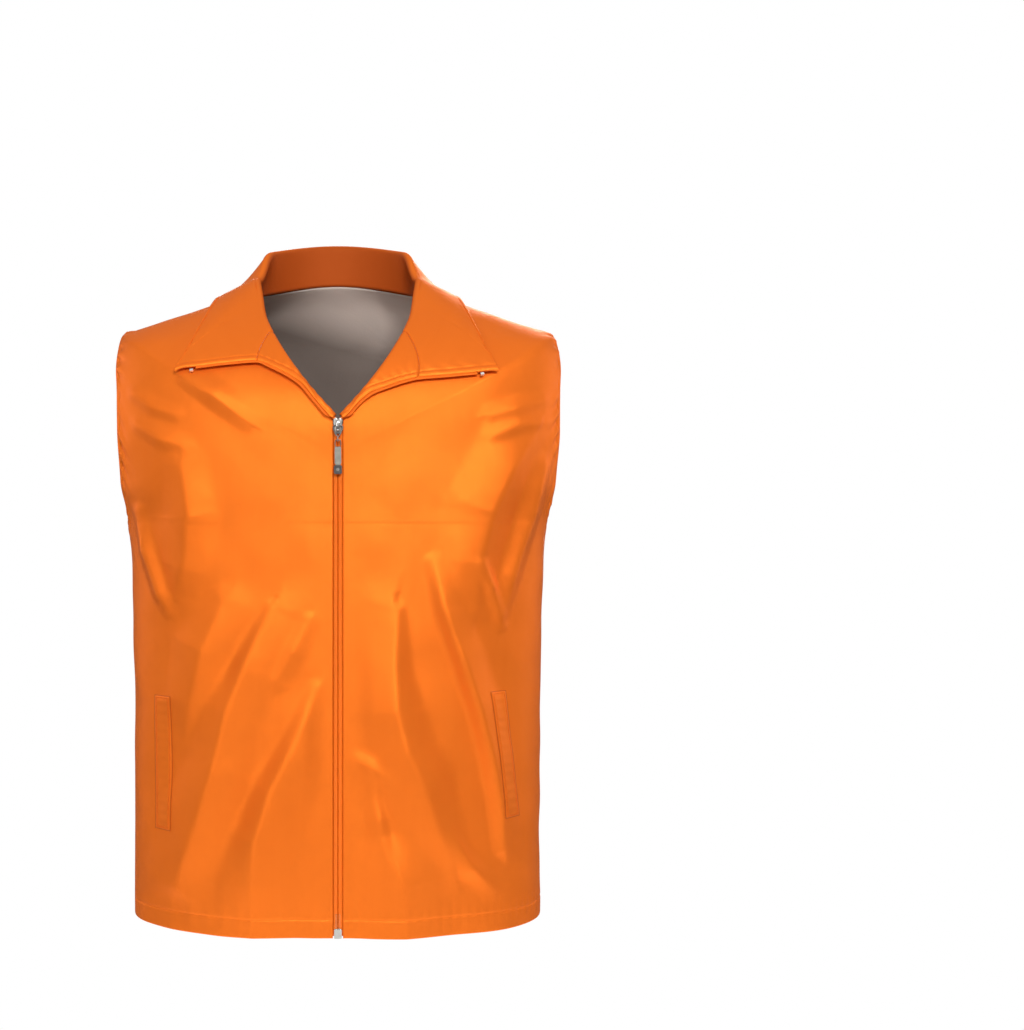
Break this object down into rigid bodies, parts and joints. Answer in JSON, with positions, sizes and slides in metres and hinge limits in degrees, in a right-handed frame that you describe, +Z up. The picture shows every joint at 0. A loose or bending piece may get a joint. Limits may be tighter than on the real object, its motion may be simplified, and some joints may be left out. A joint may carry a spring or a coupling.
{
  "type": "zip-front vest",
  "caption": "Sleeveless lined vest in blaze orange cloth with a turned-down collar, full-length front zip, hanging puller and welt pockets.",
  "frame": {"origin": "centre of the neck opening, level with the high points of the wearer's shoulders", "axes": "+Z up along the body, the front and its zip face -Y, +X towards the wearer's left armhole"},
  "size_m": [0.4524, 0.2554, 0.7056],
  "materials": {
    "shell_cloth": "satin",
    "lining_cloth": "satin",
    "collar_core": "matte",
    "zip_tape": "matte",
    "zip_coil": "satin",
    "nickel": "satin",
    "grey_metal": "satin",
    "dark_nickel": "satin"
  },
  "bodies": {
    "vest": {"back_panel": "shell_cloth", "front_panel_left": "shell_cloth", "front_panel_right": "shell_cloth", "back_lining": "lining_cloth", "front_lining_left": "lining_cloth", "front_lining_right": "lining_cloth", "front_facing_left": "shell_cloth", "front_facing_right": "shell_cloth", "armhole_binding_left": "shell_cloth", "armhole_binding_right": "shell_cloth", "upper_collar": "shell_cloth", "collar_interlining": "collar_core", "under_collar": "shell_cloth", "lapel_facing_left": "shell_cloth", "lapel_facing_right": "shell_cloth", "lapel_outer_left": "shell_cloth", "lapel_outer_right": "shell_cloth", "pocket_welt_left": "shell_cloth", "pocket_welt_right": "shell_cloth", "pocket_bag_left": "lining_cloth", "pocket_bag_right": "lining_cloth", "zip_tape_left": "zip_tape", "zip_tape_right": "zip_tape", "zip_coil_left": "zip_coil", "zip_coil_right": "zip_coil", "zip_top_stop_left": "nickel", "zip_top_stop_right": "nickel", "zip_retainer_pin": "nickel", "zip_insertion_pin": "nickel", "zip_retainer_box": "nickel"},
    "zip_slider": {"slider_body": "nickel", "slider_bridge": "nickel", "slider_lock_spring": "nickel"},
    "pull_link": {"puller_link": "nickel"},
    "pull_tab": {"puller_plate": "grey_metal", "puller_end_cap": "dark_nickel", "puller_rivet": "nickel"}
  },
  "joints": [
    {"name": "zip_run", "type": "slide", "parent": "vest", "child": "zip_slider", "axis": [0, 0, -1], "range_m": [0, 0.479]},
    {"name": "link_swing", "type": "hinge", "parent": "zip_slider", "child": "pull_link", "pos_m": [0, -0.1344, -0.153], "axis": [-1, 0, 0], "range_deg": [0, 110]},
    {"name": "tab_swing", "type": "hinge", "parent": "pull_link", "child": "pull_tab", "pos_m": [0, -0.1344, -0.167], "axis": [-1, 0, 0], "range_deg": [0, 65]}
  ]
}
